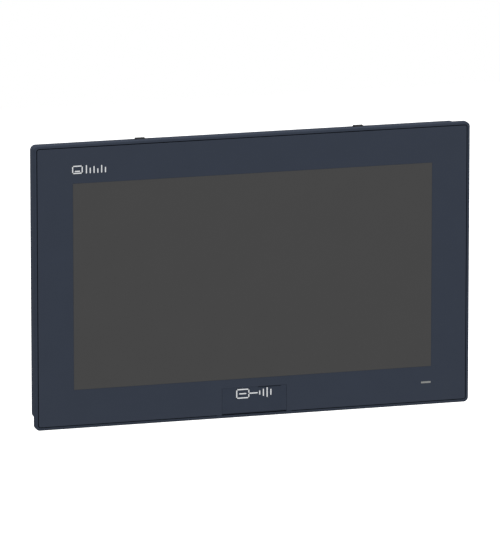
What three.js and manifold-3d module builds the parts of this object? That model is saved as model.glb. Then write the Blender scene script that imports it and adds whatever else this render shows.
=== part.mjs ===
// Flush-front industrial touch panel with a 15.6 inch wide screen, made as an assembly of separate pieces.
// Units are millimetres. +X is to the right seen from the front, +Y runs back into the cabinet, +Z is up.
// The origin is the centre of the cabinet cut-out, in the plane where the bezel's flange meets the cabinet.
import * as THREE from 'three';
import { mergeVertices } from 'three/addons/utils/BufferGeometryUtils.js';
import Module from 'manifold-3d';

const wasm = await Module();
wasm.setup();

// ---------------------------------------------------------------- driving dimensions

// Screen and front
const windowWidth = 344.2;
const windowHeight = 193.5;
const borderSide = 36.7;
const borderEnd = 36.5;
const bezelDepth = 6.6;
const bezelCornerRadius = 4.5;
const bezelEdgeRound = 0.8;
const lipWidth = 2.5;
const grooveWidth = 0.8;
const lipInnerRadius = 2.4;
const filmThickness = 0.5;
const glassThickness = 3;
const tapeThickness = 0.5;
const tapeInset = 0.8;

// Gasket behind the flange
const gasketWidth = 2;
const gasketGrooveDepth = 1;
const gasketProud = 0.6;

// Rear housing
const flangeOverlapSide = 5;
const flangeOverlapEnd = 4.7;
const housingDepth = 26.4;
const housingCornerRadius = 5;
const housingWall = 2.5;
const housingBackWall = 2;
const housingPostRadius = 4.5;
const housingPostInset = 9.3;
const bezelBossLength = 12;
const housingScrew = { radius: 2, headRadius: 3.5, head: 2.4, tip: 4 };

// Installation clamps
const clampSpacing = 209;
const clampAxisInset = 7.2;
const clampPanelThickness = 3;
const clawReach = 12.4;
const clawWidth = 9;
const clawOffset = -0.8;
const clawThickness = 4;
const clawRib = { halfWidth: 2.2, short: 4, low: 2 };
const clawHubRadius = 5.4;
const clawHubLength = 10;
const clampBossRadius = 3.2;
const clampBossLength = 6;
const clampScrew = { radius: 2, headRadius: 3.6, head: 3 };
const clampThreadGap = 0.8;
const clampTipGap = 0.7;
const clampBushGap = 2;
const clampBushWall = 0.2;
const clampBushFlange = 1.7;
const clampBushFlangeInset = 0.4;
const clampForwardTravel = 1.5;
const clampRunningGap = 0.2;
const pocketDepth = 14.2;
const pocketNearSide = 7.2;
const pocketFarSide = 17;
const driverHoleRadius = 4.3;

// Front service hatch
const hatchCentre = 0.5;
const hatchWidth = 62;
const hatchHeight = 24.85;
const hatchThickness = 2.4;
const hatchGap = 0.15;
const hatchBarrelRadius = 1.5;
const hatchPinRadius = 0.75;
const hatchPinGrip = 4;
const hatchCheekEnd = 1;
const hatchCheekGap = 0.5;
const hatchFloorThickness = 1;
const fingerNotch = { from: 3.5, to: 25.5, height: 1, depth: 1.2 };
const sealWidth = 1.2;
const sealInset = 3.5;
const sealRadius = 3;
const usbShell = { width: 13.2, height: 6, wall: 0.4, length: 14, back: 2 };
const usbBoard = { width: 40, height: 13, bossSpacing: 32 };

// Status light
const lightCentre = 167.1;
const lightDrop = 15.2;
const lightWidth = 9.4;
const lightHeight = 1.75;
const lightGuideLength = 7;
const lightGuideGap = 0.2;
const lightTapeGap = 0.5;
const lightBoard = { width: 24, height: 9, bossSpacing: 18, drop: 2 };

// Display module
const displayBorderSide = 9.8;
const displayBorderEnd = 11.2;
const displayCornerRadius = 0.8;
const displaySheet = 0.5;
const displaySkirt = 5;
const displayGap = 0.2;
const displayFit = 0.4;
const displayWindowMargin = 1;
const cellThickness = 2;
const opticsThickness = 0.7;
const lightGuideThickness = 3;
const backTrayThickness = 1.2;
const ledStripHeight = 1.8;
const bracketLength = 120;
const bracketFoot = 9;
const bracketGrip = 10;
const bracketSheet = 1.5;
const touchBoard = { width: 80, height: 12, front: 4, bossSpacing: 70 };
const boardBossRadius = 2.2;

// Electronics box
const coverInsetSide = 53.8;
const coverInsetEnd = 38.75;
const coverDepth = 30;
const coverSheet = 1.5;
const coverFlange = 10;
const coverCornerRadius = 3;
const coverScrew = { radius: 1.5, headRadius: 2.9, head: 2, tipInset: 2 };
const cableWayInset = 20;
const cableWayRadius = 6;
const ventWidth = 3;
const ventLength = 18;
const ventPitch = 12;
const ventCount = 18;
const ventDrop = 26;
const ventEndFlat = 0.01;
const boardThickness = 1.6;
const boardStandoff = 6;
const boardMargin = 10;
const boardFloorGap = 1;
const boardSupportInset = { x: 15, z: 12 };
const boardSupportRadius = 2.5;
const heatSpreader = { left: -35, right: 35, bottom: -15, top: 45 };
const backupCell = { radius: 10, thickness: 3.2, x: 95, z: 30 };
const typePlate = { width: 30, height: 60, inset: 7, thickness: 0.4 };

// The row of ports along the floor of the electronics box, from left to right.
// A cavity opens downwards; its base is its distance from the mainboard's side of the port.
const portGap = 9;
const jackCavity = { wide: 11.8, tall: 7, base: 4.2, depth: 12 };
const latchCavity = { wide: 6, tall: 9.4, base: 1.8, depth: 12 };
const jack = { width: 16, height: 13.4, length: 21, mouth: -0.4, cavities: [jackCavity, latchCavity] };
const usbCavity = { wide: 12.4, tall: 5.2, base: 1.4, depth: 10 };
const ports = {
  power_inlet: {
    width: 20.4, height: 12, length: 15, mouth: -1.5,
    cavities: [{ wide: 17.2, tall: 8, base: 2, depth: 9 }],
  },
  ground: { width: 12 },
  ethernet_port_1: { ...jack },
  ethernet_port_2: { ...jack },
  usb_port_pair: {
    width: 14.6, height: 15.8, length: 18, mouth: -0.6,
    cavities: [usbCavity, { ...usbCavity, base: 9.2 }],
  },
  serial: { width: 31 },
  reset: { width: 8 },
  card: { width: 56 },
};

// Serial connector
const serial = {
  bodyWidth: 19.4, bodyHeight: 10.6, bodyLength: 12, base: 1, shellWidth: 17.8, shellHeight: 9.4,
};
const serialFlange = { width: 30.8, height: 12.6, thickness: 1 };
const serialShell = { reach: 5.8, wall: 0.6, depth: 8, slope: 1.6 };
const serialJack = { spacing: 25, radius: 2.6, short: 1 };

// Reset button and the switch behind it
const reset = {
  rise: 6, radius: 2, flangeRadius: 3.2, flange: 1, travel: 0.8, recess: 0.4, length: 6, gap: 0.2,
};
const resetSwitch = { halfWidth: 3, halfHeight: 2.5, length: 5, gap: 0.2 };

// Ground stud and nut
const ground = { rise: 8, radius: 2, headRadius: 3.6, head: 1.4, length: 11, nutRadius: 4, nut: 3.2 };

// Card slot and its door
const card = { width: 44, height: 5, depth: 30, wall: 1.5, base: 3, back: 3 };
const cardDoor = {
  length: 14, thickness: 1.2, gap: 0.3, barrelRadius: 1.5, pinRadius: 0.75, ear: 3, earGap: 0.3,
};
const cardPivotRise = 5;
const cardPivotDrop = 0.7;

// Shared small sizes
const fit = 0.1;
const seat = 0.3;
const root = 0.5;
const past = 1;
const roundSegments = 16;
const smallSegments = 12;
const hexSegments = 6;
const screwDrive = { radius: 0.42, depth: 0.55 };

// ---------------------------------------------------------------- derived places

const panelWidth = windowWidth + 2 * borderSide;
const panelHeight = windowHeight + 2 * borderEnd;
const housingWidth = panelWidth - 2 * flangeOverlapSide;
const housingHeight = panelHeight - 2 * flangeOverlapEnd;
const recessWidth = panelWidth - 2 * lipWidth;
const recessHeight = panelHeight - 2 * lipWidth;
const frontWidth = recessWidth - 2 * grooveWidth;
const frontHeight = recessHeight - 2 * grooveWidth;
const frontRadius = lipInnerRadius - grooveWidth;
const displayWidth = windowWidth + 2 * displayBorderSide;
const displayHeight = windowHeight + 2 * displayBorderEnd;

const frontFace = -bezelDepth;
const filmBack = frontFace + filmThickness;
const glassBack = filmBack + glassThickness;
const ledgeFront = glassBack + tapeThickness;
const displayFront = ledgeFront + displayGap;
const backWallFront = housingDepth - housingBackWall;

const hatchBottom = -frontHeight / 2;
const hatchTop = hatchBottom + hatchHeight;
const hatchPivot = { y: frontFace + hatchBarrelRadius, z: hatchBottom + hatchBarrelRadius };
const hatchFloorFront = ledgeFront - hatchFloorThickness;
const usbCentre = (hatchTop + hatchPivot.z) / 2;
const usbBoardFront = hatchFloorFront + usbShell.length + seat;

const lightZ = -windowHeight / 2 - lightDrop;
const lightBoardFront = ledgeFront + lightGuideLength;
const lightBoardZ = lightZ - lightBoard.drop;
const touchBoardZ = (displayHeight / 2 + housingHeight / 2 - housingWall) / 2;

const gasketSpan = { width: (housingWidth + panelWidth) / 2, height: (housingHeight + panelHeight) / 2 };
const coverWidth = housingWidth - 2 * coverInsetSide;
const coverHeight = housingHeight - 2 * coverInsetEnd;
const coverBack = housingDepth + coverDepth;
const coverFloor = -coverHeight / 2;
const boardFront = housingDepth + boardStandoff;
const boardBack = boardFront + boardThickness;
const resetY = boardBack + reset.rise;
const groundY = boardBack + ground.rise;
const cardSlotY = boardBack + card.base + card.wall + card.height / 2;
const cardPivot = {
  y: cardSlotY + card.height / 2 + cardPivotRise,
  z: coverFloor - cardDoor.gap - cardDoor.thickness - cardPivotDrop,
};

// ---------------------------------------------------------------- geometry helpers

function toSolid(geometry) {
  const bare = geometry.clone();
  bare.deleteAttribute('normal');
  bare.deleteAttribute('uv');
  const merged = mergeVertices(bare, 1e-4);
  const vertProperties = new Float32Array(merged.attributes.position.array);
  const triVerts = new Uint32Array(merged.index.array);
  return new wasm.Manifold(new wasm.Mesh({ numProp: 3, vertProperties, triVerts }));
}

function toGeometry(solid) {
  const mesh = solid.getMesh();
  const geometry = new THREE.BufferGeometry();
  geometry.setAttribute('position', new THREE.BufferAttribute(new Float32Array(mesh.vertProperties), 3));
  geometry.setIndex(new THREE.BufferAttribute(new Uint32Array(mesh.triVerts), 1));
  geometry.computeVertexNormals();
  return geometry;
}

// A block between two corners, given as pairs along each axis in either order.
function block(x0, x1, y0, y1, z0, z1) {
  const geometry = new THREE.BoxGeometry(Math.abs(x1 - x0), Math.abs(y1 - y0), Math.abs(z1 - z0));
  geometry.translate((x0 + x1) / 2, (y0 + y1) / 2, (z0 + z1) / 2);
  return toSolid(geometry);
}

// A rounded rectangle centred on (x, z), seen from the front.
function roundedRectangle(x, z, width, height, radius) {
  const right = x + width / 2 - radius;
  const left = x - width / 2 + radius;
  const top = z + height / 2 - radius;
  const bottom = z - height / 2 + radius;
  const shape = new THREE.Shape();
  shape.absarc(right, top, radius, 0, Math.PI / 2);
  shape.absarc(left, top, radius, Math.PI / 2, Math.PI);
  shape.absarc(left, bottom, radius, Math.PI, 1.5 * Math.PI);
  shape.absarc(right, bottom, radius, 1.5 * Math.PI, 2 * Math.PI);
  shape.closePath();
  return shape;
}

// A flat outline in X and Z, made solid between two depths.
function plate(shape, y0, y1, curveSegments = 3) {
  const geometry = new THREE.ExtrudeGeometry(shape, { depth: y1 - y0, bevelEnabled: false, curveSegments });
  geometry.rotateX(Math.PI / 2);
  geometry.translate(0, y1, 0);
  return toSolid(geometry);
}

function roundedPlate(width, height, radius, y0, y1, x = 0, z = 0) {
  return plate(roundedRectangle(x, z, width, height, radius), y0, y1);
}

// Round bars along each axis.
function barY(radius, y0, y1, x = 0, z = 0, segments = roundSegments) {
  const geometry = new THREE.CylinderGeometry(radius, radius, y1 - y0, segments);
  geometry.translate(x, (y0 + y1) / 2, z);
  return toSolid(geometry);
}

function barX(radius, x0, x1, y, z) {
  const geometry = new THREE.CylinderGeometry(radius, radius, x1 - x0, roundSegments);
  geometry.rotateZ(Math.PI / 2);
  geometry.translate((x0 + x1) / 2, y, z);
  return toSolid(geometry);
}

function barZ(radius, z0, z1, x = 0, y = 0, segments = roundSegments) {
  const geometry = new THREE.CylinderGeometry(radius, radius, z1 - z0, segments);
  geometry.rotateX(Math.PI / 2);
  geometry.translate(x, y, (z0 + z1) / 2);
  return toSolid(geometry);
}

// A hexagonal bar along Z.
function hexZ(radius, z0, z1, x, y) {
  return barZ(radius, z0, z1, x, y, hexSegments);
}

function joined(solids) {
  return solids.reduce((sum, solid) => sum.add(solid));
}

function cut(body, tools) {
  return tools.reduce((rest, tool) => rest.subtract(tool), body);
}

function fourCorners(x, z) {
  return [[x, z], [-x, z], [-x, -z], [x, -z]];
}

// ---------------------------------------------------------------- finishes

const finishes = {
  paint: { color: 0x373d49, roughness: 0.5, metalness: 0.25 },
  film: { color: 0x373d49, roughness: 0.6, metalness: 0 },
  window: { color: 0x464644, roughness: 0.45, metalness: 0 },
  glass: { color: 0x3c4046, roughness: 0.2, metalness: 0 },
  light: { color: 0x6e737a, roughness: 0.4, metalness: 0 },
  rubber: { color: 0x1b1c1e, roughness: 0.85, metalness: 0 },
  blackPlastic: { color: 0x17181a, roughness: 0.55, metalness: 0 },
  blackMetal: { color: 0x1e2024, roughness: 0.45, metalness: 0.4 },
  steel: { color: 0x9a9ea3, roughness: 0.35, metalness: 0.9 },
  zinc: { color: 0xa9adb2, roughness: 0.42, metalness: 0.85 },
  circuit: { color: 0x1d4a33, roughness: 0.55, metalness: 0 },
  white: { color: 0xdadcdc, roughness: 0.6, metalness: 0 },
  clear: { color: 0xc7d0d6, roughness: 0.15, metalness: 0 },
  aluminium: { color: 0xb4b7ba, roughness: 0.4, metalness: 0.9 },
};

const panel = new THREE.Group();

function addPiece(parent, name, solid, finish) {
  const mesh = new THREE.Mesh(toGeometry(solid), new THREE.MeshStandardMaterial(finishes[finish]));
  mesh.name = name;
  parent.add(mesh);
  return mesh;
}

// ---------------------------------------------------------------- clamp places

// Each clamp is a group turned so that its own +Z points out of the housing's side.
const clampPlaces = [
  { x: -clampSpacing / 2, side: 1 },
  { x: clampSpacing / 2, side: 1 },
  { x: -clampSpacing / 2, side: -1 },
  { x: clampSpacing / 2, side: -1 },
];
const clampAxisZ = housingHeight / 2 - clampAxisInset;

function clampBars(radius, y0, y1) {
  return clampPlaces.map(({ x, side }) => barY(radius, y0, y1, x, side * clampAxisZ));
}

// The pocket that a clamp folds into, open outwards. Its near side lies towards -X at the top and
// towards +X at the bottom.
function clampPocket({ x, side }, wall, y0, y1) {
  const near = x - side * (pocketNearSide + wall);
  const far = x + side * (pocketFarSide + wall);
  const mouth = side * (housingHeight / 2 + past);
  const floor = side * (housingHeight / 2 - pocketDepth - wall);
  return block(near, far, y0, y1, floor, mouth);
}

const postPlaces = fourCorners(housingWidth / 2 - housingPostInset, housingHeight / 2 - housingPostInset);

// ---------------------------------------------------------------- front: bezel, film, glass

// The space that the hatch takes out of the film, the glass and the tape.
function hatchNotch(y0, y1, margin) {
  const half = hatchWidth / 2 + margin;
  return block(hatchCentre - half, hatchCentre + half, y0, y1, hatchBottom - lipWidth, hatchTop + margin);
}

// The bezel's cheeks at the hatch's two lower corners, behind the film, which carry the hinge pin.
function pinCheeks(margin) {
  return [-1, 1].map((side) => {
    const inner = hatchCentre + side * (hatchWidth / 2 + hatchGap);
    const outer = inner + side * (hatchPinGrip + hatchCheekEnd + margin);
    return block(
      inner, outer, filmBack, ledgeFront + root,
      hatchBottom - grooveWidth - past, hatchPivot.z + hatchBarrelRadius + margin);
  });
}

function lightSlot(y0, y1, margin) {
  const half = lightWidth / 2 + margin;
  const tall = lightHeight / 2 + margin;
  return block(lightCentre - half, lightCentre + half, y0, y1, lightZ - tall, lightZ + tall);
}

function bossPair(x, z, spacing, length) {
  return [-1, 1].map((side) => barY(
    boardBossRadius, -root, length, x + side * spacing / 2, z, smallSegments));
}

// The ring that the gasket fills, from the bottom of its groove to a given depth.
function gasketRing(y1, margin) {
  const { width, height } = gasketSpan;
  const half = gasketWidth + 2 * margin;
  const outer = roundedPlate(width + half, height + half, bezelCornerRadius, -gasketGrooveDepth, y1);
  const inner = roundedPlate(
    width - half, height - half, bezelCornerRadius - gasketWidth, -gasketGrooveDepth - past, y1 + past);
  return outer.subtract(inner);
}

function makeBezel() {
  const outline = roundedRectangle(0, 0, panelWidth, panelHeight, bezelCornerRadius);
  const rounded = new THREE.ExtrudeGeometry(outline, {
    depth: bezelDepth,
    curveSegments: 4,
    bevelThickness: bezelEdgeRound,
    bevelSize: bezelEdgeRound,
    bevelOffset: -bezelEdgeRound,
    bevelSegments: 2,
  });
  rounded.rotateX(Math.PI / 2);
  rounded.translate(0, frontFace + bezelEdgeRound + bezelDepth, 0);
  const whole = toSolid(rounded);
  const behind = block(-panelWidth, panelWidth, 0, 3 * bezelDepth, -panelHeight, panelHeight);
  const recess = roundedPlate(recessWidth, recessHeight, lipInnerRadius, frontFace - past, ledgeFront);
  const displayHole = roundedPlate(
    displayWidth + 2 * displayFit, displayHeight + 2 * displayFit, displayCornerRadius, frontFace, past);
  const shell = cut(whole, [behind, recess, displayHole, gasketRing(past, fit)]);

  const half = hatchWidth / 2 + hatchGap - fit;
  const floorBottom = hatchPivot.z + hatchBarrelRadius + hatchGap;
  const hatchFloor = block(
    hatchCentre - half, hatchCentre + half, hatchFloorFront, ledgeFront,
    floorBottom, hatchTop + hatchGap - fit);
  const floorRoot = block(
    hatchCentre - half, hatchCentre + half, hatchFloorFront, ledgeFront + root,
    floorBottom, -displayHeight / 2 - displayFit);
  const pinHalf = hatchWidth / 2 + hatchGap + hatchPinGrip + fit;
  const pinBore = barX(
    hatchPinRadius + fit, hatchCentre - pinHalf, hatchCentre + pinHalf, hatchPivot.y, hatchPivot.z);
  const screwBosses = clampBars(clampBossRadius, -root, clampBossLength);
  const posts = postPlaces.map(([x, z]) => barY(housingPostRadius, -root, bezelBossLength, x, z));
  const bosses = [
    ...bossPair(hatchCentre, usbCentre, usbBoard.bossSpacing, usbBoardFront),
    ...bossPair(lightCentre, lightBoardZ, lightBoard.bossSpacing, lightBoardFront),
    ...bossPair(0, touchBoardZ, touchBoard.bossSpacing, touchBoard.front),
  ];
  const body = joined([shell, hatchFloor, floorRoot, ...pinCheeks(0), ...screwBosses, ...posts, ...bosses]);

  const usbHole = block(
    hatchCentre - usbShell.width / 2 - seat, hatchCentre + usbShell.width / 2 + seat, frontFace, past,
    usbCentre - usbShell.height / 2 - seat, usbCentre + usbShell.height / 2 + seat);
  const threadEnd = -clampForwardTravel - clampThreadGap;
  return cut(body, [
    usbHole,
    pinBore,
    lightSlot(frontFace, past, fit),
    ...clampBars(clampScrew.radius + fit, threadEnd, clampBossLength + past),
    ...postPlaces.map(([x, z]) => barY(housingScrew.radius + fit, 1, bezelBossLength + past, x, z)),
  ]);
}

function makeFilm() {
  const whole = roundedPlate(frontWidth, frontHeight, frontRadius, frontFace, filmBack);
  const y0 = frontFace - past;
  const y1 = filmBack + past;
  const window = block(-windowWidth / 2, windowWidth / 2, y0, y1, -windowHeight / 2, windowHeight / 2);
  return cut(whole, [window, hatchNotch(y0, y1, hatchGap), lightSlot(y0, y1, fit)]);
}

function makeGlass() {
  const whole = roundedPlate(frontWidth, frontHeight, frontRadius, filmBack, glassBack);
  return cut(whole, [hatchNotch(filmBack - past, glassBack + past, hatchGap), ...pinCheeks(hatchCheekGap)]);
}

function makeTape() {
  const whole = roundedPlate(
    frontWidth - 2 * tapeInset, frontHeight - 2 * tapeInset, frontRadius, glassBack, ledgeFront);
  const y0 = glassBack - past;
  const y1 = ledgeFront + past;
  const opening = roundedPlate(
    displayWidth + 4 * displayFit, displayHeight + 4 * displayFit, displayCornerRadius, y0, y1);
  const cheekSpan = hatchPinGrip + hatchCheekEnd + hatchCheekGap;
  return cut(whole, [opening, hatchNotch(y0, y1, hatchGap + cheekSpan), lightSlot(y0, y1, lightTapeGap)]);
}

function addFront() {
  addPiece(panel, 'front_bezel', makeBezel(), 'paint');
  addPiece(panel, 'border_film', makeFilm(), 'film');
  addPiece(panel, 'window_film', block(
    -windowWidth / 2 + fit, windowWidth / 2 - fit, frontFace, filmBack,
    -windowHeight / 2 + fit, windowHeight / 2 - fit), 'window');
  addPiece(panel, 'touch_glass', makeGlass(), 'glass');
  addPiece(panel, 'glass_tape', makeTape(), 'rubber');
  addPiece(panel, 'panel_gasket', gasketRing(gasketProud, 0), 'rubber');
}

// ---------------------------------------------------------------- status light

function addStatusLight() {
  addPiece(panel, 'status_light_window', lightSlot(frontFace, filmBack, 0), 'light');
  const guide = lightSlot(glassBack + lightGuideGap, lightBoardFront - lightGuideGap, 0);
  addPiece(panel, 'status_light_guide', guide, 'clear');
  addPiece(panel, 'status_light_board', block(
    lightCentre - lightBoard.width / 2, lightCentre + lightBoard.width / 2,
    lightBoardFront, lightBoardFront + boardThickness,
    lightBoardZ - lightBoard.height / 2, lightBoardZ + lightBoard.height / 2), 'circuit');
}

// ---------------------------------------------------------------- hatch and front socket

function addHatch() {
  const left = hatchCentre - hatchWidth / 2;
  const right = hatchCentre + hatchWidth / 2;
  const { y, z } = hatchPivot;
  const leaf = block(left, right, frontFace, frontFace + hatchThickness, z, hatchTop);
  const barrel = barX(hatchBarrelRadius, left, right, y, z);
  const notch = block(
    hatchCentre + fingerNotch.from, hatchCentre + fingerNotch.to,
    frontFace - past, frontFace + fingerNotch.depth, hatchTop - fingerNotch.height, hatchTop + past);
  const bore = barX(hatchPinRadius + fit, left - past, right + past, y, z);
  addPiece(panel, 'usb_hatch', cut(leaf.add(barrel), [notch, bore]), 'paint');

  const gripEnd = hatchWidth / 2 + hatchGap + hatchPinGrip;
  addPiece(
    panel, 'hatch_pin', barX(hatchPinRadius, hatchCentre - gripEnd, hatchCentre + gripEnd, y, z), 'steel');

  const sealTop = hatchTop - sealInset;
  const sealBottom = z + sealInset;
  const sealHeight = sealTop - sealBottom;
  const sealCentre = (sealTop + sealBottom) / 2;
  const sealSpan = hatchWidth - 2 * sealInset;
  const sealFront = frontFace + hatchThickness + fit;
  const sealOuter = roundedPlate(
    sealSpan, sealHeight, sealRadius, sealFront, hatchFloorFront, hatchCentre, sealCentre);
  const sealInner = roundedPlate(
    sealSpan - 2 * sealWidth, sealHeight - 2 * sealWidth, sealRadius - sealWidth,
    sealFront - past, hatchFloorFront + past, hatchCentre, sealCentre);
  addPiece(panel, 'hatch_seal', sealOuter.subtract(sealInner), 'rubber');
}

function addFrontSocket() {
  const { width, height, wall, length, back } = usbShell;
  const socketBack = hatchFloorFront + length;
  const outer = block(
    hatchCentre - width / 2, hatchCentre + width / 2, hatchFloorFront, socketBack,
    usbCentre - height / 2, usbCentre + height / 2);
  const cavity = block(
    hatchCentre - width / 2 + wall, hatchCentre + width / 2 - wall, hatchFloorFront - past, socketBack - back,
    usbCentre - height / 2 + wall, usbCentre + height / 2 - wall);
  addPiece(panel, 'front_usb_socket', outer.subtract(cavity), 'steel');
  addPiece(panel, 'front_usb_board', block(
    hatchCentre - usbBoard.width / 2, hatchCentre + usbBoard.width / 2,
    usbBoardFront, usbBoardFront + boardThickness,
    usbCentre - usbBoard.height / 2, usbCentre + usbBoard.height / 2), 'circuit');
}

// ---------------------------------------------------------------- display module

function addDisplay() {
  const width = displayWidth;
  const height = displayHeight;
  const innerHalf = { x: width / 2 - displaySheet - fit, z: height / 2 - displaySheet - fit };
  const cellFront = displayFront + displaySheet;
  const opticsFront = cellFront + cellThickness;
  const guideFront = opticsFront + opticsThickness;
  const trayFront = guideFront + lightGuideThickness;
  const trayBack = trayFront + backTrayThickness;

  const can = roundedPlate(width, height, displayCornerRadius, displayFront, displayFront + displaySkirt);
  const canInside = block(
    -width / 2 + displaySheet, width / 2 - displaySheet, cellFront, displayFront + displaySkirt + past,
    -height / 2 + displaySheet, height / 2 - displaySheet);
  const seen = { x: windowWidth / 2 + displayWindowMargin, z: windowHeight / 2 + displayWindowMargin };
  const canWindow = block(-seen.x, seen.x, displayFront - past, cellFront + past, -seen.z, seen.z);
  addPiece(panel, 'display_front_frame', cut(can, [canInside, canWindow]), 'steel');

  const layer = (y0, y1, bottomInset = 0) => block(
    -innerHalf.x, innerHalf.x, y0, y1, -innerHalf.z + bottomInset, innerHalf.z);
  addPiece(panel, 'lcd_cell', layer(cellFront, opticsFront), 'glass');
  addPiece(panel, 'optical_sheets', layer(opticsFront, guideFront), 'white');
  addPiece(panel, 'light_guide_plate', layer(guideFront, trayFront, ledStripHeight + seat), 'clear');
  addPiece(panel, 'led_strip', block(
    -innerHalf.x, innerHalf.x, guideFront, trayFront, -innerHalf.z, -innerHalf.z + ledStripHeight), 'white');
  addPiece(panel, 'display_back_tray', layer(trayFront, trayBack), 'zinc');

  [['left', -1], ['right', 1]].forEach(([name, side]) => {
    const edge = side * (width / 2 + displayFit + seat);
    const foot = edge + side * bracketFoot;
    const grip = edge - side * bracketGrip;
    const half = bracketLength / 2;
    const upright = block(edge, foot, 0, trayBack + bracketSheet, -half, half);
    const arm = block(grip, foot, trayBack, trayBack + bracketSheet, -half, half);
    addPiece(panel, `display_bracket_${name}`, upright.add(arm), 'zinc');
  });

  addPiece(panel, 'touch_controller_board', block(
    -touchBoard.width / 2, touchBoard.width / 2, touchBoard.front, touchBoard.front + boardThickness,
    touchBoardZ - touchBoard.height / 2, touchBoardZ + touchBoard.height / 2), 'circuit');
}

// ---------------------------------------------------------------- rear housing

const boardSupports = fourCorners(
  coverWidth / 2 - boardSupportInset.x, coverHeight / 2 - boardSupportInset.z);
const coverScrewPlaces = fourCorners((coverWidth + coverFlange) / 2, (coverHeight + coverFlange) / 2);

function makeHousing() {
  const rearPast = housingDepth + past;
  const outer = roundedPlate(housingWidth, housingHeight, housingCornerRadius, 0, housingDepth);
  const inner = roundedPlate(
    housingWidth - 2 * housingWall, housingHeight - 2 * housingWall, housingCornerRadius - housingWall,
    -past, backWallFront);
  const pocketWalls = joined(clampPlaces.map((place) => clampPocket(
    place, housingWall, -2 * past, backWallFront)));
  const tray = outer.subtract(inner.subtract(pocketWalls));
  const posts = postPlaces.map(([x, z]) => barY(
    housingPostRadius, bezelBossLength, backWallFront + root, x, z));
  const standoffs = boardSupports.map(([x, z]) => barY(
    boardSupportRadius, housingDepth - root, boardFront, x, z, smallSegments));
  const body = joined([tray, ...posts, ...standoffs]);
  const cableWay = roundedPlate(
    coverWidth - 2 * cableWayInset, coverHeight - 2 * cableWayInset, cableWayRadius,
    backWallFront - past, rearPast);
  return cut(body, [
    ...clampPlaces.map((place) => clampPocket(place, 0, -past, backWallFront)),
    ...clampBars(driverHoleRadius, backWallFront - past, rearPast),
    ...postPlaces.map(([x, z]) => barY(housingScrew.radius + fit, bezelBossLength - past, rearPast, x, z)),
    ...coverScrewPlaces.map(([x, z]) => barY(coverScrew.radius + fit, backWallFront - past, rearPast, x, z)),
    cableWay,
  ]);
}

// A pan-head screw along Y with a hexagonal driver recess; headFront is where its head seats.
function panScrew({ radius, headRadius, head }, tip, headFront) {
  const top = headFront + head;
  const disc = barY(headRadius, headFront, top);
  const shank = barY(radius, tip, headFront + root);
  const drive = barY(
    headRadius * screwDrive.radius, top - head * screwDrive.depth, top + past, 0, 0, hexSegments);
  return disc.add(shank).subtract(drive);
}

function addHousing() {
  addPiece(panel, 'rear_housing', makeHousing(), 'paint');
  postPlaces.forEach(([x, z], index) => {
    const solid = panScrew(housingScrew, housingScrew.tip, housingDepth);
    const screw = addPiece(panel, `housing_screw_${index + 1}`, solid, 'steel');
    screw.position.set(x, 0, z);
  });
}

// ---------------------------------------------------------------- installation clamps

const clawBack = clampPanelThickness + clawHubLength;
const bushFront = clampBossLength + clampBushGap;
const bushRadius = clampBossRadius + clampBushWall;
const clawBoreRadius = bushRadius + clampRunningGap;
const bushFlangeFront = clawBack + seat;
const screwHeadFront = bushFlangeFront + clampBushFlange;

function addClamp({ x, side }, index) {
  const clamp = new THREE.Group();
  clamp.position.set(x, 0, side * clampAxisZ);
  clamp.rotation.y = side > 0 ? 0 : Math.PI;
  panel.add(clamp);

  const hub = barY(clawHubRadius, clampPanelThickness, clawBack);
  const arm = block(
    clawOffset - clawWidth / 2, clawOffset + clawWidth / 2,
    clampPanelThickness, clampPanelThickness + clawThickness, 0, clawReach);
  const rib = block(
    clawOffset - clawRib.halfWidth, clawOffset + clawRib.halfWidth,
    clampPanelThickness, clawBack - clawRib.low, 0, clawReach - clawRib.short);
  const bore = barY(clawBoreRadius, clampPanelThickness - past, clawBack + past);
  addPiece(clamp, `clamp_claw_${index + 1}`, joined([hub, arm, rib]).subtract(bore), 'blackMetal');

  const barrel = barY(bushRadius, bushFront, bushFlangeFront + root);
  const flange = barY(clawHubRadius - clampBushFlangeInset, bushFlangeFront, screwHeadFront);
  const throughHole = barY(clampScrew.radius + fit, bushFront - past, screwHeadFront + past);
  addPiece(clamp, `clamp_bush_${index + 1}`, barrel.add(flange).subtract(throughHole), 'steel');

  const screw = panScrew(clampScrew, clampTipGap - clampForwardTravel, screwHeadFront + fit);
  addPiece(clamp, `clamp_screw_${index + 1}`, screw, 'steel');
}

// ---------------------------------------------------------------- electronics box

function placePorts() {
  const widths = Object.values(ports).map((port) => port.width);
  const total = widths.reduce((sum, width) => sum + width, 0) + portGap * (widths.length - 1);
  let left = -total / 2;
  Object.values(ports).forEach((port) => {
    port.x = left + port.width / 2;
    left += port.width + portGap;
  });
}
placePorts();

const hollowPorts = Object.entries(ports).filter(([, port]) => port.cavities);

function cardEars() {
  const doorHalf = ports.card.width / 2 - cardDoor.ear - cardDoor.earGap;
  return [-1, 1].map((side) => {
    const inner = ports.card.x + side * (doorHalf + cardDoor.earGap);
    const outer = inner + side * cardDoor.ear;
    return block(
      inner, outer, cardPivot.y - cardDoor.barrelRadius, cardPivot.y + cardDoor.barrelRadius,
      cardPivot.z - cardDoor.barrelRadius, coverFloor + root);
  });
}

// An upright slot with chamfered ends, a little longer than its end arcs need.
function ventOutline(x, y) {
  return roundedRectangle(x, y, ventWidth, ventLength, ventWidth / 2 - ventEndFlat);
}

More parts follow.
